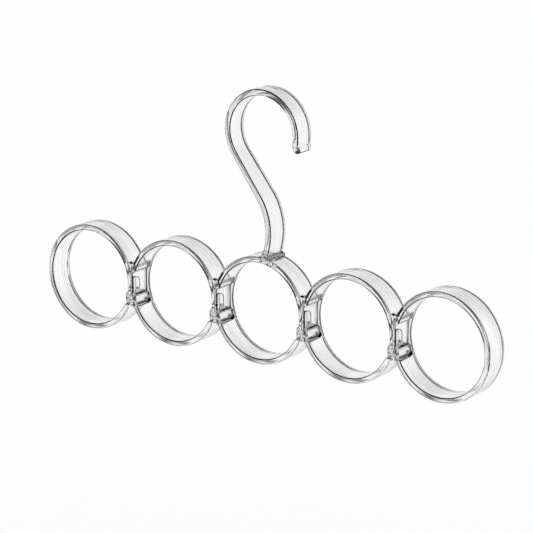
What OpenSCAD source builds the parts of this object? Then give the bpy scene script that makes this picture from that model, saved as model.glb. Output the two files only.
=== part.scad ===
// Scarf hanger: five clear rings in a row, tied edge to edge by slide-in link clips,
// with a flat-band S hook seated on top of the middle ring.
// Millimetres. X runs along the row, Y is the rings' axis (front at -Y), Z is up.
// The origin is the centre of the hook's bend, where the closet rod passes.

/* [Rings] */
// Outer diameter of every ring
ring_od = 86; // [70:1:110]
// Thickness of the ring's wall
ring_wall = 4.5; // [4:0.1:6]
// Depth of the ring along its axis
ring_depth = 22; // [20:0.5:32]
// How far the round outside is cut back to a flat where two rings meet
seam_flat = 1.5; // [1:0.1:2]
// Gap between the flats of two neighbouring rings
seam_gap = 0.1; // [0.05:0.05:0.3]
// Radius of the valley between two rings, above and below the seam
valley_r = 3.5; // [2.5:0.1:5]
// Radius along the outer edges of the rim
rim_outer_r = 1.6; // [0.8:0.1:1.8]
// Radius along the inner edges of the rim
rim_inner_r = 1.0; // [0.4:0.1:1.6]
// How far the joining pad stays behind the rim's front and back faces
pad_inset = 0.8; // [0.3:0.1:1.5]

/* [Link clips] */
// Height of the clip's centre below the rings' centre line
key_drop = 11.6; // [10:0.1:14]
// Height of the clip's two heads
key_head_h = 10.2; // [8:0.1:12]
// Height of the neck between the heads
key_neck_h = 5; // [3.5:0.1:6]
// Distance from the seam to the outer face of each head
key_reach = 5.2; // [4.6:0.1:5.8]
// Radius round the outer edge of each head
key_edge_r = 1.6; // [0.6:0.1:1.9]
// Thickness of the lip that each head grips, measured from the seam
lip_t = 1.5; // [1.2:0.1:1.8]
// Thickness of the wall left at the back of the clip's slot
back_rim_t = 2.5; // [2:0.1:4]
// Clearance round the clip on every side
key_gap = 0.15; // [0.1:0.05:0.25]

/* [Snap finger] */
// Thickness of the finger, which lies beside the lip
finger_t = 1.1; // [0.9:0.1:1.8]
// Width of the finger's stem
finger_stem_w = 2.8; // [2:0.1:3.4]
// Height of the finger's top above the rings' centre line
finger_top = 7; // [5:0.1:9]
// Depth of the finger's nose behind the clip's front face
finger_nose_y = 8.4; // [8:0.1:11]
// Height of the nose's underside below the rings' centre line
finger_nose_drop = 1.8; // [1:0.1:2.4]
// Radius of the nose's upper back corner
finger_nose_r = 5.4; // [1:0.1:5.4]
// Width of the barb that hooks down behind the catch peg
barb_w = 2; // [1.4:0.1:2.6]
// Length of the barb below the nose
barb_l = 2.6; // [2:0.1:2.8]
// Radius of the catch peg that stands on the pocket's floor
peg_r = 1; // [0.7:0.1:1.2]
// Height of the catch peg above the pocket's floor
peg_h = 1.6; // [1.3:0.1:2.6]
// Height of the pocket's top above the rings' centre line
pocket_top = 12.4; // [11:0.1:14]
// Radius where the pocket's floor sweeps up into its top
pocket_r = 4; // [1:0.1:5]

/* [Hook] */
// Inside radius of the hook's bend
bend_inner_r = 29.2; // [26:0.1:34]
// Thickness of the hook's band
band_t = 5; // [4:0.1:6]
// Depth of the band round the bend
bend_depth = 18.4; // [14:0.1:20]
// Depth of the band along the shank and at the foot
shank_depth = 20.4; // [16:0.1:21]
// Radius along the band's edges
band_edge_r = 1.0; // [0.3:0.1:1.6]
// Height of the bend's centre above the top of the middle ring
hook_rise = 97.4; // [90:0.1:120]
// Sideways distance from the middle ring's centre to the bend's centre
hook_offset = 2; // [0:0.1:4]
// Radius of the shank's lower curve, along the middle of the band
shank_r = 46.7; // [42:0.1:52]
// Sideways distance from the ring's centre to the shank's outermost point
shank_bow = 9.25; // [7:0.05:11]
// Height of the shank's outermost point above the top of the middle ring
shank_bow_z = 19.3; // [16:0.1:22]
// Angle below the level of the bend's centre where the hook's tip lies
tip_angle = 15.5; // [5:0.5:25]
// Radius of the rounded bead across the hook's tip
bead_r = 3.5; // [2.7:0.05:3.9]
// Radius round the ends of the bead and the corners of the band at the tip
bead_edge_r = 3.2; // [0.6:0.1:3.4]
// Width of the hook's foot where it seats on the ring
foot_w = 10.2; // [9:0.1:12]
// Radius of the hollow flare on each side of the foot
flare_r = 3.4; // [2.6:0.1:4]
// Thickness of the foot's edge under the flare
foot_edge = 0.8; // [0.5:0.1:1.5]
// Width of the foot's dovetail at the ring's outer face
tenon_top_w = 6.6; // [5:0.1:7.4]
// Width of the foot's dovetail at the ring's inner face
tenon_base_w = 8.8; // [8:0.1:9.4]
// Clearance round the dovetail on every side and under the foot
tenon_gap = 0.1; // [0.05:0.05:0.2]

/* [Hidden] */
$fn = 96;

clear_tint = [0.90, 0.93, 0.93, 0.55];

ring_r = ring_od / 2;
bore_r = ring_r - ring_wall;
seam_x = ring_r - seam_flat;
flat_x = seam_x - seam_gap / 2;
ring_pitch = 2 * seam_x;
ring_z = -(hook_rise + ring_r);
pad_depth = ring_depth - 2 * pad_inset;
valley_z = sqrt(pow(ring_r + valley_r, 2) - pow(seam_x, 2));
touch_z = valley_z * ring_r / (ring_r + valley_r);

key_z = -key_drop;
key_front = -pad_depth / 2;
slot_back = ring_depth / 2 - back_rim_t;
key_round_y = slot_back - key_gap - key_head_h / 2;
barb_y = key_front + finger_nose_y - barb_w;
finger_in = lip_t + key_gap;
past = 1;

bend_r = bend_inner_r + band_t / 2;
// The shank's lower curve turns about shank_c, seen from the bend's centre.
shank_c = [shank_bow - shank_r - hook_offset, shank_bow_z - hook_rise];
centres = norm(shank_c);
// Angle of the radius that both curves share where the straight of the shank leaves them
turn = atan2(-shank_c[1], -shank_c[0]) - acos((bend_r + shank_r) / centres);
straight_l = sqrt(pow(centres, 2) - pow(bend_r + shank_r, 2));
foot_h = flare_r + foot_edge;
foot_x = shank_c[0] + sqrt(pow(shank_r, 2) - pow(shank_bow_z - foot_h / 2, 2));
foot_turn = asin(shank_bow_z / shank_r);
ring_foot_x = foot_x + hook_offset;
// The tapered straight reaches this far into each curve, a little under their surface.
slice_reach = 0.5;
slice_inset = 0.03;
slice_t = 0.05;
// How far the bead's inner side lies behind the band's, so that it stays clear of the rod's space
bead_step = 0.1;
// How far the rounding of the band's corners at the tip starts outside its sides
corner_step = 0.1;

// Rectangle with rounded corners, centred on the origin.
module rounded_rect(w, h, r) {
    square([w - 2 * r, h], center = true);
    square([w, h - 2 * r], center = true);
    for (x = [-1, 1], y = [-1, 1])
        translate([x * (w / 2 - r), y * (h / 2 - r)]) circle(r);
}

// Stands an XZ profile up and gives it a depth along Y, from y0 to y1.
module along_y(y0, y1) {
    translate([0, y1, 0]) rotate([90, 0, 0]) linear_extrude(y1 - y0) children();
}

// Stands a YZ profile up and gives it a thickness along X, from x0 to x1.
module along_x(x0, x1) {
    translate([x0, 0, 0]) rotate([90, 0, 90]) linear_extrude(x1 - x0) children();
}

// Section of the ring's wall: outer edges rounder than the inner ones.
module rim_section() {
    half = ring_depth / 2;
    translate([bore_r, -half + rim_inner_r]) square([ring_wall / 2, ring_depth - 2 * rim_inner_r]);
    translate([bore_r + rim_inner_r, -half])
        square([ring_wall - rim_inner_r - rim_outer_r, ring_depth]);
    translate([ring_r - ring_wall / 2, -half + rim_outer_r])
        square([ring_wall / 2, ring_depth - 2 * rim_outer_r]);
    for (side = [-1, 1]) {
        translate([bore_r + rim_inner_r, side * (half - rim_inner_r)]) circle(rim_inner_r);
        translate([ring_r - rim_outer_r, side * (half - rim_outer_r)]) circle(rim_outer_r);
    }
}

// Pad that fills the gap between the round ring and the seam, with a filleted valley at each end.
module joining_pad() {
    along_y(-pad_depth / 2, pad_depth / 2) difference() {
        translate([bore_r - ring_wall, -touch_z]) square([seam_x - bore_r + ring_wall, 2 * touch_z]);
        for (end = [-1, 1]) translate([seam_x, end * valley_z]) circle(valley_r);
    }
}

// Section of the clip's body across its length: two heads on a neck, symmetric about the seam.
module key_section(gap, reach, edge_r) {
    head = key_head_h / 2 + gap;
    neck = key_neck_h / 2 + gap;
    inner = lip_t + (gap > 0 ? 0 : key_gap);
    translate([-inner - past, -neck]) square([2 * (inner + past), 2 * neck]);
    for (turned = [0, 180]) rotate(turned) {
        translate([inner, -head]) square([reach - inner - edge_r, 2 * head]);
        translate([inner, -head + edge_r]) square([reach - inner, 2 * (head - edge_r)]);
        for (end = [-1, 1]) translate([reach - edge_r, end * (head - edge_r)]) circle(edge_r);
    }
}

// Body of the clip, straight from the front and rounded at the back.
// With a gap it is the slot that the clip slides into.
module key_body(gap, reach, edge_r, front) {
    translate([0, 0, key_z]) {
        along_y(front, key_round_y) key_section(gap, reach, edge_r);
        translate([0, key_round_y, 0]) rotate([0, 90, 0]) rotate_extrude() intersection() {
            mirror([1, -1, 0]) key_section(gap, reach, edge_r);
            translate([0, -2 * reach]) square([2 * key_head_h, 4 * reach]);
        }
    }
}

// Slot for the clip, cut through the pads of both rings at a seam.
module key_slot() {
    key_body(key_gap, ring_r / 2, key_edge_r, -ring_depth);
}

// Pocket above the slot in the right-hand ring's wall, where the snap finger lies.
// Its floor sweeps up into the bore and it is closed at the back.
module finger_pocket() {
    deep = ring_r / 2;
    along_y(-ring_depth, slot_back) {
        translate([lip_t, key_z]) square([deep, pocket_top - pocket_r - key_z]);
        translate([lip_t + pocket_r, key_z]) square([deep - pocket_r, pocket_top - key_z]);
        translate([lip_t + pocket_r, pocket_top - pocket_r]) circle(pocket_r);
    }
}

// Peg that the finger's barb hooks behind.
module catch_peg() {
    peg_y = barb_y - key_gap - peg_r;
    peg_z = -finger_nose_drop - key_gap - peg_r;
    along_x(lip_t - past, lip_t + peg_h) translate([peg_y, peg_z]) circle(peg_r);
}

// Dovetail under the hook's foot, as an XZ profile measured from the ring's centre.
module dovetail(gap) {
    top = ring_r + past;
    low = bore_r - past;
    slope = (tenon_base_w - tenon_top_w) / 2 / ring_wall;
    top_half = tenon_top_w / 2 - slope * past + gap;
    low_half = tenon_base_w / 2 + slope * past + gap;
    translate([ring_foot_x, 0])
        polygon([[-top_half, top], [top_half, top], [low_half, low], [-low_half, low]]);
}

// One ring, centred on its own axis; the flags say which sides are joined and which ring holds the hook.
module ring_body(joined_left, joined_right, holds_hook) {
    difference() {
        union() {
            rotate([90, 0, 0]) rotate_extrude() rim_section();
            difference() {
                union() {
                    if (joined_right) joining_pad();
                    if (joined_left) mirror([1, 0, 0]) joining_pad();
                }
                along_y(-ring_depth, ring_depth) circle(bore_r + rim_inner_r);
            }
        }
        if (joined_right) {
            translate([flat_x, -ring_depth, -ring_r]) cube([ring_r, 2 * ring_depth, 2 * ring_r]);
            translate([seam_x, 0, 0]) key_slot();
        }
        if (joined_left) {
            translate([-flat_x - ring_r, -ring_depth, -ring_r]) cube([ring_r, 2 * ring_depth, 2 * ring_r]);
            translate([-seam_x, 0, 0]) key_slot();
            translate([-seam_x, 0, 0]) finger_pocket();
        }
        if (holds_hook) along_y(-ring_depth, slot_back) dovetail(tenon_gap);
    }
    if (joined_left) translate([-seam_x, 0, 0]) catch_peg();
}

module ring(place, joined_left, joined_right, holds_hook) {
    color(clear_tint) translate([place * ring_pitch - hook_offset, 0, ring_z])
        ring_body(joined_left, joined_right, holds_hook);
}

module ring_left_end() ring(-2, false, true, false);
module ring_left_inner() ring(-1, true, true, false);
module ring_middle() ring(0, true, true, true);
module ring_right_inner() ring(1, true, true, false);
module ring_right_end() ring(2, true, false, false);

// Outline of the snap finger: a stem, a nose that points back and a barb that turns down.
module finger_outline() {
    nose_back = key_front + finger_nose_y;
    translate([key_front, key_z]) square([finger_stem_w, finger_top - key_z]);
    translate([key_front, -finger_nose_drop])
        square([finger_nose_y - finger_nose_r, finger_top + finger_nose_drop]);
    translate([key_front, -finger_nose_drop])
        square([finger_nose_y, finger_top + finger_nose_drop - finger_nose_r]);
    translate([nose_back - finger_nose_r, finger_top - finger_nose_r]) circle(finger_nose_r);
    translate([barb_y, -finger_nose_drop - barb_l + barb_w / 2])
        square([barb_w, barb_l]);
    translate([barb_y + barb_w / 2, -finger_nose_drop - barb_l + barb_w / 2]) circle(barb_w / 2);
}

// One link clip, slid in from the front at the seam numbered from the left.
module link_clip(seam) {
    color(clear_tint) translate([(seam - 2.5) * ring_pitch - hook_offset, 0, ring_z]) {
        key_body(0, key_reach, key_edge_r, key_front);
        along_x(finger_in, finger_in + finger_t) finger_outline();
    }
}

// Band section swept round an arc about the origin, from one angle to another.
module band_arc(r, depth, from, to) {
    rotate([90, 0, 0]) rotate([0, 0, from]) rotate_extrude(angle = to - from)
        translate([r, 0]) rounded_rect(band_t, depth, band_edge_r);
}

// Thin slice of the band's section, the start and end of the tapered straight.
module band_slice(depth, z) {
    cut = 2 * slice_inset;
    translate([0, 0, z]) linear_extrude(slice_t)
        rounded_rect(band_t - cut, depth - cut, band_edge_r, $fn = 32);
}

// Tapered straight of the shank, between the two curves.
module band_straight() {
    translate([shank_c[0] + shank_r * cos(turn), 0, shank_c[1] + shank_r * sin(turn)])
        rotate([0, -turn, 0]) hull() {
            band_slice(shank_depth, -slice_reach);
            band_slice(bend_depth, straight_l + slice_reach);
        }
}

// Foot that flares out on the ring's outside, with its dovetail let into the ring's wall.
module hook_foot() {
    translate([-hook_offset, 0, ring_z]) {
        along_y(key_front, -key_front) difference() {
            translate([ring_foot_x - foot_w / 2, bore_r]) square([foot_w, ring_wall + foot_h]);
            for (side = [-1, 1]) translate([ring_foot_x + side * foot_w / 2, ring_r + foot_h]) circle(flare_r);
            circle(ring_r + tenon_gap);
        }
        along_y(key_front, slot_back - tenon_gap) difference() {
            dovetail(0);
            circle(bore_r);
        }
    }
}

// Rounded bead across the tip, so that it doesn't snag. It stands proud of the band's outside
// and keeps clear of the round space inside the bend.
module tip_bead() {
    away = bend_inner_r + bead_r + bead_step;
    rotate([0, tip_angle, 0]) translate([away, 0, 0]) rotate([90, 0, 0]) rotate_extrude() intersection() {
        rounded_rect(2 * bead_r, bend_depth, bead_edge_r);
        translate([0, -bend_depth / 2 - past]) square([bead_r + past, bend_depth + 2 * past]);
    }
}

// Cutter that rounds the two corners of the band at the tip, so that they stay within the bead.
module tip_corners() {
    centre_y = bend_depth / 2 - bead_edge_r + corner_step;
    corner = bead_edge_r + past;
    rotate([0, tip_angle, 0])
        for (side = [-1, 1]) along_x(bend_inner_r - past, bend_inner_r + band_t + past) difference() {
            translate([side * (centre_y + corner / 2), corner / 2 - past]) square(corner, center = true);
            translate([side * centre_y, bead_edge_r]) circle(bead_edge_r);
        }
}

// S-shaped hook: bead, bend, tapered straight, lower curve and foot.
module hook_body() {
    tip_bead();
    difference() {
        band_arc(bend_r, bend_depth, -tip_angle, 180 + turn);
        tip_corners();
    }
    band_straight();
    translate([shank_c[0], 0, shank_c[1]]) band_arc(shank_r, shank_depth, -foot_turn, turn);
    hook_foot();
}

module hook() {
    color(clear_tint) hook_body();
}

ring_left_end();
ring_left_inner();
ring_middle();
ring_right_inner();
ring_right_end();
link_clip(1);  // link_clip_1
link_clip(2);  // link_clip_2
link_clip(3);  // link_clip_3
link_clip(4);  // link_clip_4
hook();
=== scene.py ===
import math

import bmesh
import bpy
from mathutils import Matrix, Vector
from mathutils.kdtree import KDTree


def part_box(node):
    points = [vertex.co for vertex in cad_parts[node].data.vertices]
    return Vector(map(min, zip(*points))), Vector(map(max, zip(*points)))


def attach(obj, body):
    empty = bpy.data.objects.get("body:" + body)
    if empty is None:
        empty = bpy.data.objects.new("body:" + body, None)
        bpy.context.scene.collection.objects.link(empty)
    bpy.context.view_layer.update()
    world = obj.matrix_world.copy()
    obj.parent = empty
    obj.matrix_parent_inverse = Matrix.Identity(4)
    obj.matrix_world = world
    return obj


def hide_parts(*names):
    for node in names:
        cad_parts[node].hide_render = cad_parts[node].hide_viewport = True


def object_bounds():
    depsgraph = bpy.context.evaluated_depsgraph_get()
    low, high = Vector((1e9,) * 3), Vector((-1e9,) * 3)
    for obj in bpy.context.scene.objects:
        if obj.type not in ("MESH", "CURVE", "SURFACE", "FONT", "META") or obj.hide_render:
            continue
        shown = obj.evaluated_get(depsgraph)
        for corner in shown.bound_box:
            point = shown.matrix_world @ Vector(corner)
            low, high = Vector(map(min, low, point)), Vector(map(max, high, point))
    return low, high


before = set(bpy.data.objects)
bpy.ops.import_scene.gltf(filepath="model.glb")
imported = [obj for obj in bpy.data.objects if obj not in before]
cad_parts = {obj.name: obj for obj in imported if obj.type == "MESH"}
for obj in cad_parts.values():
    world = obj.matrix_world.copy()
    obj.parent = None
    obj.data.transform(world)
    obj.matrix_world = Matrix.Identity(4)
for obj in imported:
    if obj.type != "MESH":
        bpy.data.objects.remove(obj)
box_at_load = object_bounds()


def middle_of(node):
    """The middle of a CAD node's box."""
    low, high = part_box(node)
    return (low + high) / 2


# Lengths are in metres and angles in degrees. A pair of numbers is the range over which a mark comes in
# or fades out, and two pairs are the two sides of a band. A turn is how squarely a surface faces a
# direction, from -1 to 1. TOWARDS is a direction from a circle's centre, sideways and up, and the pair
# after it says how near to that direction a mark comes in. DARK is how much a mark darkens, up to 1.
# The marks are painted shade: dark lines and patches, set by a spot's place on the part, that stand in
# for the dark refractions of clear plastic and the shade in its gaps, and do not move with the view.

# Camera: the photograph's viewing angle, found from its five equal rings, with the lens in millimetres
CAMERA_AZIMUTH = 35.53
CAMERA_ELEVATION = 15.60
CAMERA_DISTANCE = 2.2287
CAMERA_AIM = Vector((-0.001256, 0.0, -0.10705))
CAMERA_LENS = 195.07
CAMERA_SENSOR = 36.0
CAMERA_NEAR = 0.1
CAMERA_FAR = 50.0

# Studio: white all round, with a dim ceiling that only reflections and refractions see, which comes in
# as a ray's direction rises
WHITE = (1.0, 1.0, 1.0, 1.0)
BLACK = (0.0, 0.0, 0.0, 1.0)
FLOOR_DROP = 0.30
FLOOR_SIZE = 60.0
CEILING_RISE = (0.25, 0.60)
CEILING_LEVEL = 0.05
LIGHT_BOUNCES = 40
GLOSSY_BOUNCES = 12
DIFFUSE_BOUNCES = 4

# The row of rings, from the frame. Past the row's end, from its middle, a ring has no neighbour
ROW_MIDDLE = middle_of("ring_middle").x
RING_PITCH = middle_of("ring_right_inner").x - ROW_MIDDLE
RING_LEVEL = middle_of("ring_right_inner").z
ROW_END = 0.19
RIM_MIDDLE = 0.0405

# Clear moulded plastic: what its body swallows per metre, and the painted shade on its edges and grazed
# spots
PLASTIC_IOR = 1.49
RING_ABSORB = 4.0
HOOK_ABSORB = 8.0
CLIP_ABSORB = 10.0
GRAZE_BLEND = 0.5
GRAZE = (0.60, 1.00)
GRAZE_DARK = 0.45
RING_EDGE = 0.0005
HOOK_EDGE = 0.0005
CLIP_EDGE = 0.0006
EDGE_SAMPLES = 4
EDGE_TURN = (0.75, 0.98)
EDGE_DARK = 0.95

# Its flow streaks along the walls, as noise per metre across and along them, and its waviness and haze
STREAK = (0.45, 0.65)
STREAK_FINE = 500.0
STREAK_LONG = 20.0
STREAK_DETAIL = 2.0
RING_STREAK_DARK = 0.25
HOOK_STREAK_DARK = 0.12
CLIP_STREAK_DARK = 0.0
WAVE_SIZE = 0.018
WAVE_HEIGHT = 0.00010
WAVE_DETAIL = 1.0
HAZE_SIZE = 0.012
HAZE_DETAIL = 3.0
HAZE = (0.45, 0.75)
HAZE_ROUGHNESS = (0.0, 0.03)

# A surface is a wall below the first of these turns towards Y, and flat above the second
WALL_TURN = 0.5
FLAT_TURN = 0.9

# Rings, painted shade round the rims: turns towards Y, and the share of the outer rim's mark that the
# right side has
OUTER_TURN = ((0.03, 0.15), (0.55, 0.80))
OUTER_DARK = 1.0
OUTER_RIGHT = 0.2
LEFT_TO_RIGHT = (-0.3, 0.3)
INNER_TURN = ((0.10, 0.40), (0.90, 0.99))
INNER_DARK = 1.0
STRIP_DEPTH = (0.0090, 0.0094)
STRIP_DARK = 0.3

# Rings, painted shade lines on the front and back faces: distances from a ring's centre
ACCENT_TOWARDS = (0.80, 0.60)
ACCENT = (0.80, 0.95)
ACCENT_LINE = (0.0398, 0.0406)
ACCENT_DARK = 0.92
INNER_LINE = ((0.0383, 0.0386), (0.0390, 0.0396))
INNER_LINE_DARK = 0.5
OUTER_LINE = ((0.0408, 0.0412), (0.0424, 0.0428))
OUTER_LINE_DARK = 0.7

# Rings, painted shade where two of them meet: sideways and up from a ring's centre, and back from its
# middle
VALLEY_SIDE = (0.0385, 0.0395)
VALLEY_RISE = (0.0155, 0.0165)
VALLEY_FRONT = (-0.0070, -0.0050)
VALLEY_DARK = 1.0
STROKE_TOWARDS = (-0.85, 0.52)
STROKE = (0.985, 0.992)
STROKE_FRONT = (-0.0085, -0.0070)
STROKE_DARK = 1.0
SEAM_SIDE = 0.0411
SEAM_DEPTH = (0.0080, 0.0090)
SEAM_DARK = 0.95

# Rings, painted shade in the pocket that the snap finger stands in
POCKET_DEPTH = 0.0095
POCKET_DARK = 0.2
ROOF_SIDE = -0.030
ROOF_RISE = ((0.0121, 0.0123), (0.0130, 0.0132))
ROOF_BACK = (0.0078, 0.0086)
ROOF_DARK = 0.9

# Hook, painted shade along the band: turns of its edges and left side, and where its front and rear strips
# lie
HOOK_TURN = ((0.05, 0.20), (0.85, 0.98))
HOOK_DARK = 1.0
HOOK_LEFT = (-0.6, -0.3)
HOOK_STRIP = (-0.0085, -0.0075)
HOOK_STRIP_DARK = 0.8
TAPER_RISE = (-0.050, -0.019)
REAR_STRIP = (0.0089, 0.0079)
REAR_STRIP_DARK = 0.7

# Hook, painted shade round the bead at its tip, which lacks most of the band's edge mark and has turns
# of its own
BEAD_SIDE = 0.027
BEAD_RISE = -0.005
BEAD_CLEAR = 0.8
BEAD_UNDER = (0.35, 0.65)
BEAD_REAR = (0.3, 0.5)
BEAD_FRONT = ((0.3, 0.5), (0.6, 0.8))
BEAD_DARK = 0.95

# Hook, a painted shade arc inside its bend
BEND_LINE = (0.0305, 0.0313)
BEND_FRONT = (-0.0080, -0.0070)
BEND_TOWARDS = (0.50, 0.87)
BEND_ACCENT = (0.92, 0.97)
BEND_DARK = 1.0

# Hook, along its left edge: the S that part.scad builds, which is a bend round the frame's origin, a lower
# curve and the straight that touches both, and the painted shade lines beside its edge
BEND_RADIUS = 0.0317
CURVE_RADIUS = 0.0467
CURVE_CENTRE = (-0.03945, -0.0781)
BAND_HALF = 0.0025
LEFT_LINE = (0.0008, 0.0012)
LEFT_PART = (0.004, 0.012)
LEFT_LINE_DARK = 0.9
MIDDLE_LINE = ((0.0018, 0.0020), (0.0024, 0.0027))
MIDDLE_LINE_DARK = 0.5

# Hook, at its foot, which lacks most of the band's edge mark: its painted shade line is a circle round a
# ring's centre
FOOT_RISE = (-0.0930, -0.0922)
FOOT_CLEAR = 0.85
FOOT_LINE = ((0.0430, 0.0431), (0.0433, 0.0436))
FOOT_DARK = 0.5

# Clips, cut flush: their front face, the cut just ahead of it, how near points count as on the cut, as
# one point or as an old corner, and the most corners that a face keeps
FLUSH = "_flush"
CLIP_FRONT = -0.0102
CUT_AHEAD = 0.000001
CUT_REACH = 0.0000001
MERGE_REACH = 0.000001
NORMAL_REACH = 0.000002
MOST_CORNERS = 4

# Clips, painted shade round their heads and snap fingers: sideways from the seam, back from the middle and
# up from the rings' centres, and the share of the heads' mark that the left one has
HEAD_SIDE = (0.0020, 0.0026)
HEAD_TURN = (0.70, 0.95)
HEAD_FRONT = (-0.0090, -0.0060)
HEAD_CENTRE = (0.0022, -0.0108)
HEAD_RIM = (0.0035, 0.0040)
HEAD_LEFT = 0.3
HEAD_DARK = 0.95
FINGER_RISE = -0.0063
NOSE_CENTRE = (-0.0072, 0.0016)
NOSE_LINE = (0.0047, 0.0050)
STEM_LINE = ((-0.0078, -0.0076), (-0.0073, -0.0071))
FINGER_DARK = 0.9


def add_camera():
    azimuth = math.radians(CAMERA_AZIMUTH)
    elevation = math.radians(CAMERA_ELEVATION)
    away = Vector((
        math.cos(elevation) * math.sin(azimuth),
        -math.cos(elevation) * math.cos(azimuth),
        math.sin(elevation),
    ))
    data = bpy.data.cameras.new("camera")
    data.lens = CAMERA_LENS
    data.sensor_width = CAMERA_SENSOR
    data.clip_start = CAMERA_NEAR
    data.clip_end = CAMERA_FAR
    camera = bpy.data.objects.new("camera", data)
    bpy.context.scene.collection.objects.link(camera)
    camera.location = CAMERA_AIM + away * CAMERA_DISTANCE
    camera.rotation_euler = away.to_track_quat("Z", "Y").to_euler()
    bpy.context.scene.camera = camera


class Nodes:
    """Short names for the nodes that the materials and the world are built from."""

    def __init__(self, tree):
        self.tree = tree

    def add(self, kind, **settings):
        node = self.tree.nodes.new(kind)
        for name, value in settings.items():
            setattr(node, name, value)
        return node

    def feed(self, socket, value):
        if hasattr(value, "is_output"):
            self.tree.links.new(value, socket)
        else:
            socket.default_value = value

    def split(self, vector):
        parts = self.add("ShaderNodeSeparateXYZ")
        self.feed(parts.inputs[0], vector)
        return parts.outputs

    def noise(self, position, scale, detail):
        node = self.add("ShaderNodeTexNoise")
        self.feed(node.inputs["Vector"], position)
        node.inputs["Scale"].default_value = scale
        node.inputs["Detail"].default_value = detail
        return node.outputs["Fac"]

    def math(self, operation, *values):
        node = self.add("ShaderNodeMath", operation=operation)
        for socket, value in zip(node.inputs, values):
            self.feed(socket, value)
        return node.outputs[0]

    def plus(self, value, amount):
        return self.math("ADD", value, amount)

    def minus(self, value, amount):
        return self.math("SUBTRACT", value, amount)

    def product(self, *values):
        result = values[0]
        for value in values[1:]:
            result = self.math("MULTIPLY", result, value)
        return result

    def highest(self, *values):
        result = values[0]
        for value in values[1:]:
            result = self.math("MAXIMUM", result, value)
        return result

    def absolute(self, value):
        return self.math("ABSOLUTE", value)

    def above(self, value, limit):
        return self.math("GREATER_THAN", value, limit)

    def below(self, value, limit):
        return self.math("LESS_THAN", value, limit)

    def wrap(self, value, pitch):
        """A place in a row, seen from the nearest of its equal parts."""
        return self.math("WRAP", value, pitch / 2, -pitch / 2)

    def length(self, along, up):
        return self.math("SQRT", self.plus(self.product(along, along), self.product(up, up)))

    def reach(self, along, up, direction):
        """How far a spot lies in a direction."""
        return self.plus(self.product(along, direction[0]), self.product(up, direction[1]))

    def towards(self, along, up, length, direction):
        """Cosine of the angle between a spot, seen from its circle's centre, and a direction."""
        return self.math("DIVIDE", self.reach(along, up, direction), length)

    def smooth(self, value, start, end, low=0.0, high=1.0):
        node = self.add("ShaderNodeMapRange", interpolation_type="SMOOTHSTEP")
        self.feed(node.inputs["Value"], value)
        node.inputs["From Min"].default_value = start
        node.inputs["From Max"].default_value = end
        node.inputs["To Min"].default_value = low
        node.inputs["To Max"].default_value = high
        return node.outputs[0]

    def fade(self, value, start, end):
        return self.smooth(value, start, end, 1.0, 0.0)

    def band(self, value, rise, fall):
        """One between the two ranges, fading out over each of them."""
        return self.product(self.smooth(value, *rise), self.fade(value, *fall))

    def invert(self, mask):
        return self.minus(1.0, mask)

    def lessen(self, value, *marks):
        """A value made less by each mark, which is a mask and an amount."""
        for mask, amount in marks:
            value = self.product(value, self.invert(self.product(mask, amount)))
        return value


class RingSpot:
    """Where a spot lies on its own ring and which way it faces, as outputs of nodes."""

    def __init__(self, nodes, normal, place):
        row_side = nodes.minus(place["X"], ROW_MIDDLE)
        self.in_row = nodes.below(nodes.absolute(row_side), ROW_END)
        self.side = nodes.wrap(row_side, RING_PITCH)
        self.rise = nodes.minus(place["Z"], RING_LEVEL)
        self.back = place["Y"]
        self.depth = nodes.absolute(place["Y"])
        self.radius = nodes.length(self.side, self.rise)
        self.rightward = nodes.math("DIVIDE", self.side, self.radius)
        self.turn = nodes.absolute(normal["Y"])
        self.outer = nodes.above(self.radius, RIM_MIDDLE)
        self.inner = nodes.invert(self.outer)
        self.wall = nodes.below(self.turn, WALL_TURN)
        self.face = nodes.invert(self.wall)


def rim_marks(nodes, spot):
    """Painted shade round a ring's rims, the outer one mostly on the left, and faintly on the walls beside
    them.
    """
    outer_rim = nodes.product(
        spot.outer, nodes.band(spot.turn, *OUTER_TURN),
        nodes.smooth(spot.rightward, *LEFT_TO_RIGHT, 1.0, OUTER_RIGHT))
    inner_rim = nodes.product(spot.inner, nodes.band(spot.turn, *INNER_TURN))
    strip = nodes.product(spot.wall, nodes.smooth(spot.depth, *STRIP_DEPTH))
    return (outer_rim, OUTER_DARK), (inner_rim, INNER_DARK), (strip, STRIP_DARK)


def face_marks(nodes, spot):
    """Painted shade on a ring's front and back: a thick arc at the upper right, and two thin lines round
    it.
    """
    upper_right = nodes.towards(spot.side, spot.rise, spot.radius, ACCENT_TOWARDS)
    arc = nodes.product(
        spot.face, nodes.fade(spot.radius, *ACCENT_LINE), nodes.smooth(upper_right, *ACCENT))
    inner_line = nodes.product(spot.face, nodes.band(spot.radius, *INNER_LINE))
    outer_line = nodes.product(
        spot.face, nodes.band(spot.radius, *OUTER_LINE), nodes.fade(spot.rightward, *LEFT_TO_RIGHT))
    return (arc, ACCENT_DARK), (inner_line, INNER_LINE_DARK), (outer_line, OUTER_LINE_DARK)


def seam_marks(nodes, spot):
    """Painted shade where two rings meet: in the valley, in a stroke beside it and along the pads' edges.
    """
    far_side = nodes.absolute(spot.side)
    valley = nodes.product(
        spot.in_row, nodes.smooth(far_side, *VALLEY_SIDE), nodes.smooth(spot.rise, *VALLEY_RISE),
        spot.wall, nodes.fade(spot.back, *VALLEY_FRONT))
    upper_left = nodes.towards(spot.side, spot.rise, spot.radius, STROKE_TOWARDS)
    stroke = nodes.product(
        spot.in_row, spot.outer, nodes.smooth(upper_left, *STROKE),
        nodes.fade(spot.back, *STROKE_FRONT))
    seam = nodes.product(
        spot.in_row, nodes.above(far_side, SEAM_SIDE), nodes.smooth(spot.depth, *SEAM_DEPTH),
        spot.wall)
    return (valley, VALLEY_DARK), (stroke, STROKE_DARK), (seam, SEAM_DARK)


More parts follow.
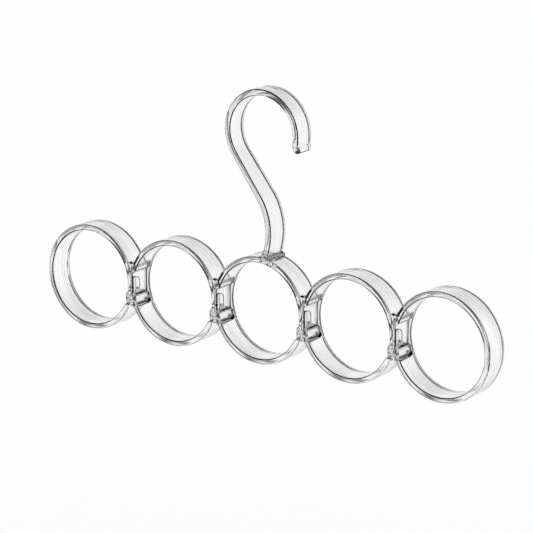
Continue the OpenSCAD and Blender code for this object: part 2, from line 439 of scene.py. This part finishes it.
def pocket_marks(nodes, spot):
    """Painted shade in the snap finger's pocket: under its roof, and faintly over its back."""
    roof = nodes.product(
        spot.in_row, spot.inner, spot.wall, nodes.below(spot.side, ROOF_SIDE),
        nodes.band(spot.rise, *ROOF_RISE), nodes.fade(spot.back, *ROOF_BACK))
    back = nodes.product(nodes.below(spot.depth, POCKET_DEPTH), nodes.above(spot.turn, FLAT_TURN))
    return (roof, ROOF_DARK), (back, POCKET_DARK)


def ring_painted_shade(nodes, normal, place):
    """The painted shade on a ring's plastic, 1 where no mark darkens it."""
    spot = RingSpot(nodes, normal, place)
    return nodes.lessen(
        1.0, *rim_marks(nodes, spot), *face_marks(nodes, spot), *seam_marks(nodes, spot),
        *pocket_marks(nodes, spot))


class HookSpot:
    """Where a spot lies on the hook and which way it faces, as outputs of nodes."""

    def __init__(self, nodes, normal, place):
        self.side = place["X"]
        self.back = place["Y"]
        self.rise = place["Z"]
        self.normal = normal
        self.radius = nodes.length(self.side, self.rise)
        self.turn = nodes.absolute(normal["Y"])
        self.bead = nodes.product(
            nodes.above(self.side, BEAD_SIDE), nodes.below(self.rise, BEAD_RISE))


def band_marks(nodes, spot):
    """Painted shade along the hook's band: its rounded edges, its left side near the front and its rear
    strip.
    """
    foot = nodes.fade(spot.rise, *FOOT_RISE)
    edge = nodes.lessen(
        nodes.band(spot.turn, *HOOK_TURN), (spot.bead, BEAD_CLEAR), (foot, FOOT_CLEAR))
    left = nodes.product(
        nodes.fade(spot.normal["X"], *HOOK_LEFT), nodes.fade(spot.back, *HOOK_STRIP))
    rear_from = nodes.smooth(spot.rise, *TAPER_RISE, *REAR_STRIP)
    rear = nodes.product(nodes.above(spot.back, rear_from), nodes.below(spot.turn, WALL_TURN))
    return (edge, HOOK_DARK), (left, HOOK_STRIP_DARK), (rear, REAR_STRIP_DARK)


def bead_marks(nodes, spot):
    """Painted shade round the bead at the hook's tip: underneath, behind and in front."""
    under = nodes.smooth(nodes.product(spot.normal["Z"], -1.0), *BEAD_UNDER)
    behind = nodes.smooth(spot.normal["Y"], *BEAD_REAR)
    ahead = nodes.band(nodes.product(spot.normal["Y"], -1.0), *BEAD_FRONT)
    return ((nodes.product(spot.bead, nodes.highest(behind, ahead, under)), BEAD_DARK),)


def bend_marks(nodes, spot):
    """A painted shade arc at the upper right of the bend's inside, near the front."""
    upper_right = nodes.towards(spot.side, spot.rise, spot.radius, BEND_TOWARDS)
    arc = nodes.product(
        nodes.fade(spot.back, *BEND_FRONT), nodes.fade(spot.radius, *BEND_LINE),
        nodes.smooth(upper_right, *BEND_ACCENT))
    return ((arc, BEND_DARK),)


def from_left_edge(nodes, spot):
    """Distance from the hook's left edge, worked out down and across the direction of its straight."""
    centres_apart = math.hypot(*CURVE_CENTRE)
    radii = BEND_RADIUS + CURVE_RADIUS
    lean = math.atan2(-CURVE_CENTRE[1], -CURVE_CENTRE[0]) - math.acos(radii / centres_apart)
    straight_length = math.sqrt(centres_apart ** 2 - radii ** 2)
    down = nodes.reach(spot.side, spot.rise, (math.sin(lean), -math.cos(lean)))
    across = nodes.reach(spot.side, spot.rise, (math.cos(lean), math.sin(lean)))
    from_curve_centre = nodes.length(
        nodes.plus(across, radii), nodes.minus(down, straight_length))
    on_bend = nodes.invert(nodes.above(down, 0.0))
    on_curve = nodes.above(down, straight_length)
    on_straight = nodes.minus(nodes.invert(on_bend), on_curve)
    bend_part = nodes.product(on_bend, nodes.minus(BEND_RADIUS + BAND_HALF, spot.radius))
    straight_part = nodes.product(on_straight, nodes.plus(across, BEND_RADIUS + BAND_HALF))
    curve_part = nodes.product(on_curve, nodes.minus(from_curve_centre, CURVE_RADIUS - BAND_HALF))
    return nodes.plus(nodes.plus(bend_part, straight_part), curve_part)


def left_marks(nodes, spot):
    """Two painted shade lines on the hook's front and back, at its left edge and beside it."""
    from_edge = from_left_edge(nodes, spot)
    middle_line = nodes.product(nodes.band(from_edge, *MIDDLE_LINE), MIDDLE_LINE_DARK)
    lines = nodes.highest(nodes.fade(from_edge, *LEFT_LINE), middle_line)
    on_left = nodes.product(
        nodes.above(spot.turn, WALL_TURN), nodes.fade(spot.side, *LEFT_PART))
    return ((nodes.product(lines, on_left), LEFT_LINE_DARK),)


def foot_marks(nodes, spot):
    """A painted shade line across the hook's foot, where it meets the middle ring."""
    side = nodes.minus(spot.side, ROW_MIDDLE)
    rise = nodes.minus(spot.rise, RING_LEVEL)
    return ((nodes.band(nodes.length(side, rise), *FOOT_LINE), FOOT_DARK),)


def hook_painted_shade(nodes, normal, place):
    """The painted shade on the hook's plastic, 1 where no mark darkens it."""
    spot = HookSpot(nodes, normal, place)
    return nodes.lessen(
        1.0, *band_marks(nodes, spot), *bead_marks(nodes, spot), *bend_marks(nodes, spot),
        *left_marks(nodes, spot), *foot_marks(nodes, spot))


class ClipSpot:
    """Where a spot lies on its own clip and which way it faces, as outputs of nodes."""

    def __init__(self, nodes, normal, place):
        row_side = nodes.minus(place["X"], ROW_MIDDLE - RING_PITCH / 2)
        self.side = nodes.wrap(row_side, RING_PITCH)
        self.rise = nodes.minus(place["Z"], RING_LEVEL)
        self.back = place["Y"]
        self.not_front = nodes.above(normal["Y"], -FLAT_TURN)
        self.narrow_face = nodes.fade(nodes.absolute(normal["X"]), *HEAD_TURN)
        self.on_finger = nodes.above(self.rise, FINGER_RISE)


def head_marks(nodes, spot):
    """Painted shade round the rim of each head, behind the front and beside the neck, weaker on the left
    head.
    """
    beside_neck = nodes.smooth(nodes.absolute(spot.side), *HEAD_SIDE)
    behind_front = nodes.product(spot.not_front, nodes.smooth(spot.back, *HEAD_FRONT))
    past_centre = nodes.highest(nodes.minus(spot.back, HEAD_CENTRE[0]), 0.0)
    from_centre = nodes.length(past_centre, nodes.minus(spot.rise, HEAD_CENTRE[1]))
    rim = nodes.highest(spot.narrow_face, nodes.smooth(from_centre, *HEAD_RIM))
    share = nodes.smooth(spot.side, -HEAD_SIDE[0], HEAD_SIDE[0], HEAD_LEFT, 1.0)
    on_head = nodes.invert(spot.on_finger)
    return ((nodes.product(beside_neck, behind_front, rim, share, on_head), HEAD_DARK),)


def finger_marks(nodes, spot):
    """Painted shade along the snap finger: round its nose, down its stem and on its narrow faces."""
    from_nose = nodes.length(
        nodes.highest(nodes.minus(spot.back, NOSE_CENTRE[0]), 0.0),
        nodes.highest(nodes.minus(spot.rise, NOSE_CENTRE[1]), 0.0))
    edges = nodes.highest(
        nodes.smooth(from_nose, *NOSE_LINE), nodes.band(spot.back, *STEM_LINE), spot.narrow_face)
    return ((nodes.product(spot.on_finger, edges), FINGER_DARK),)


def clip_painted_shade(nodes, normal, place):
    """The painted shade on a clip's plastic, 1 where no mark darkens it."""
    spot = ClipSpot(nodes, normal, place)
    return nodes.lessen(1.0, *head_marks(nodes, spot), *finger_marks(nodes, spot))


def painted_graze_shade(nodes):
    """Painted shade where a surface is seen along its length, for the dark refractions of clear plastic.
    """
    graze = nodes.add("ShaderNodeLayerWeight")
    graze.inputs["Blend"].default_value = GRAZE_BLEND
    return nodes.smooth(graze.outputs["Facing"], *GRAZE)


def painted_edge_shade(nodes, normal, radius):
    """Painted shade where the surface turns within a small radius, darkening its rounded edges."""
    bevel = nodes.add("ShaderNodeBevel", samples=EDGE_SAMPLES)
    bevel.inputs["Radius"].default_value = radius
    dot = nodes.add("ShaderNodeVectorMath", operation="DOT_PRODUCT")
    nodes.feed(dot.inputs[0], bevel.outputs[0])
    nodes.feed(dot.inputs[1], normal)
    return nodes.fade(dot.outputs["Value"], *EDGE_TURN)


def streak_mark(nodes, facing, position):
    """Soft lines along the walls, as the flow in the mould leaves them."""
    stretch = nodes.add("ShaderNodeMapping")
    stretch.inputs["Scale"].default_value = (STREAK_LONG, STREAK_FINE, STREAK_LONG)
    nodes.feed(stretch.inputs["Vector"], position)
    streak = nodes.smooth(nodes.noise(stretch.outputs[0], 1.0, STREAK_DETAIL), *STREAK)
    wall = nodes.below(nodes.absolute(facing["Y"]), WALL_TURN)
    return nodes.product(wall, streak)


def add_gloss(nodes, shader, position):
    """Gloss with a little haze and waviness."""
    haze = nodes.noise(position, 1.0 / HAZE_SIZE, HAZE_DETAIL)
    nodes.feed(shader.inputs["Roughness"], nodes.smooth(haze, *HAZE, *HAZE_ROUGHNESS))
    wave = nodes.add("ShaderNodeBump")
    wave.inputs["Distance"].default_value = WAVE_HEIGHT
    nodes.feed(wave.inputs["Height"], nodes.noise(position, 1.0 / WAVE_SIZE, WAVE_DETAIL))
    nodes.feed(shader.inputs["Normal"], wave.outputs[0])


def clear_plastic(name, absorb, painted_shade_of, edge_radius, streak_dark):
    """Clear moulded plastic, with painted shade at its marks and edges, whose body swallows a little
    light.
    """
    material = bpy.data.materials.new(name)
    material.use_nodes = True
    nodes = Nodes(material.node_tree)
    shader = material.node_tree.nodes["Principled BSDF"]
    output = material.node_tree.nodes["Material Output"]
    shader.inputs["Transmission Weight"].default_value = 1.0
    shader.inputs["IOR"].default_value = PLASTIC_IOR

    normal = nodes.add("ShaderNodeNewGeometry").outputs["Normal"]
    position = nodes.add("ShaderNodeTexCoord").outputs["Object"]
    facing = nodes.split(normal)
    painted_shade = painted_shade_of(nodes, facing, nodes.split(position))
    painted_shade = nodes.lessen(
        painted_shade, (painted_graze_shade(nodes), GRAZE_DARK), (painted_edge_shade(nodes, normal, edge_radius), EDGE_DARK))
    if streak_dark > 0.0:
        painted_shade = nodes.lessen(painted_shade, (streak_mark(nodes, facing, position), streak_dark))
    # The painted shade darkens both the light that passes through and the reflections.
    nodes.feed(shader.inputs["Base Color"], painted_shade)
    nodes.feed(shader.inputs["Specular Tint"], painted_shade)
    add_gloss(nodes, shader, position)

    body = nodes.add("ShaderNodeVolumeAbsorption")
    body.inputs["Color"].default_value = BLACK
    body.inputs["Density"].default_value = absorb
    nodes.feed(output.inputs["Volume"], body.outputs[0])
    return material


def keep_normals(source, mesh):
    """Gives a mesh the corner normals of the one that it was cut from."""
    corners = KDTree(len(source.loops))
    for corner in source.loops:
        corners.insert(source.vertices[corner.vertex_index].co, corner.index)
    corners.balance()
    normals = []
    for face in mesh.polygons:
        for index in face.vertices:
            near = corners.find_range(mesh.vertices[index].co, NORMAL_REACH)
            choices = [source.corner_normals[found[1]].vector for found in near]
            normals.append(max(choices, key=face.normal.dot, default=face.normal).copy())
    mesh.normals_split_custom_set(normals)


def cut_flush(source, matrix, name):
    """A closed copy of a clip's mesh without what stands out in front of the clip."""
    work = bmesh.new()
    work.from_mesh(source)
    work.transform(matrix)
    bmesh.ops.remove_doubles(work, verts=work.verts, dist=MERGE_REACH)
    bmesh.ops.bisect_plane(
        work, geom=work.verts[:] + work.edges[:] + work.faces[:], dist=CUT_REACH,
        plane_co=(0.0, CLIP_FRONT - CUT_AHEAD, 0.0), plane_no=(0.0, -1.0, 0.0), clear_outer=True)
    bmesh.ops.holes_fill(work, edges=[edge for edge in work.edges if edge.is_boundary])
    many_sided = [face for face in work.faces if len(face.verts) > MOST_CORNERS]
    bmesh.ops.triangulate(work, faces=many_sided)
    bmesh.ops.recalc_face_normals(work, faces=work.faces)
    for face in work.faces:
        face.smooth = True
    mesh = bpy.data.meshes.new(name)
    work.to_mesh(mesh)
    work.free()
    return mesh


def add_flush_clip(name, node, material):
    """A clip whose snap finger ends flush with its front, where the solid's rounded nose stands out."""
    mesh = cut_flush(node.data, node.matrix_world, name + FLUSH)
    keep_normals(node.data, mesh)
    mesh.materials.append(material)
    piece = bpy.data.objects.new(name + FLUSH, mesh)
    bpy.context.scene.collection.objects.link(piece)
    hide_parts(name)
    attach(piece, "root")


def dress_nodes():
    """Gives the rings and the hook their clear plastic, and puts a flush copy in each clip's place."""
    ring = clear_plastic("clear_ring_plastic", RING_ABSORB, ring_painted_shade, RING_EDGE, RING_STREAK_DARK)
    hook = clear_plastic("clear_hook_plastic", HOOK_ABSORB, hook_painted_shade, HOOK_EDGE, HOOK_STREAK_DARK)
    clip = clear_plastic("clear_clip_plastic", CLIP_ABSORB, clip_painted_shade, CLIP_EDGE, CLIP_STREAK_DARK)
    for name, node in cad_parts.items():
        if name.startswith("link_clip"):
            add_flush_clip(name, node, clip)
            continue
        material = hook if name == "hook" else ring
        for index in range(len(node.data.materials)):
            node.data.materials[index] = material


def add_world():
    """White for the camera and the floor, and for gloss and glass a white with a dim ceiling."""
    world = bpy.data.worlds.new("studio")
    bpy.context.scene.world = world
    world.use_nodes = True
    nodes = Nodes(world.node_tree)
    background = world.node_tree.nodes["Background"]
    background.inputs["Color"].default_value = WHITE
    direction = nodes.split(nodes.add("ShaderNodeTexCoord").outputs["Generated"])
    seen = nodes.smooth(direction["Z"], *CEILING_RISE, 1.0, CEILING_LEVEL)
    path = nodes.add("ShaderNodeLightPath").outputs
    plain = nodes.highest(path["Is Camera Ray"], path["Is Diffuse Ray"])
    level = nodes.add("ShaderNodeMix", data_type="FLOAT")
    nodes.feed(level.inputs[0], plain)
    nodes.feed(level.inputs[2], seen)
    nodes.feed(level.inputs[3], 1.0)
    nodes.feed(background.inputs["Strength"], level.outputs[0])


def add_floor():
    floor_height = box_at_load[0][2] - FLOOR_DROP
    bpy.ops.mesh.primitive_plane_add(size=FLOOR_SIZE, location=(0.0, 0.0, floor_height))
    floor = bpy.context.object
    floor.name = "floor"
    material = bpy.data.materials.new("floor_white")
    material.use_nodes = True
    shader = material.node_tree.nodes["Principled BSDF"]
    shader.inputs["Base Color"].default_value = WHITE
    shader.inputs["Specular IOR Level"].default_value = 0.0
    shader.inputs["Roughness"].default_value = 1.0
    floor.data.materials.append(material)


def set_light_paths():
    """Thick clear plastic needs many bounces before light finds its way out again."""
    cycles = bpy.context.scene.cycles
    cycles.max_bounces = LIGHT_BOUNCES
    cycles.transmission_bounces = LIGHT_BOUNCES
    cycles.glossy_bounces = GLOSSY_BOUNCES
    cycles.diffuse_bounces = DIFFUSE_BOUNCES
    bpy.context.scene.view_settings.view_transform = "Standard"


add_camera()
dress_nodes()
add_world()
add_floor()
set_light_paths()
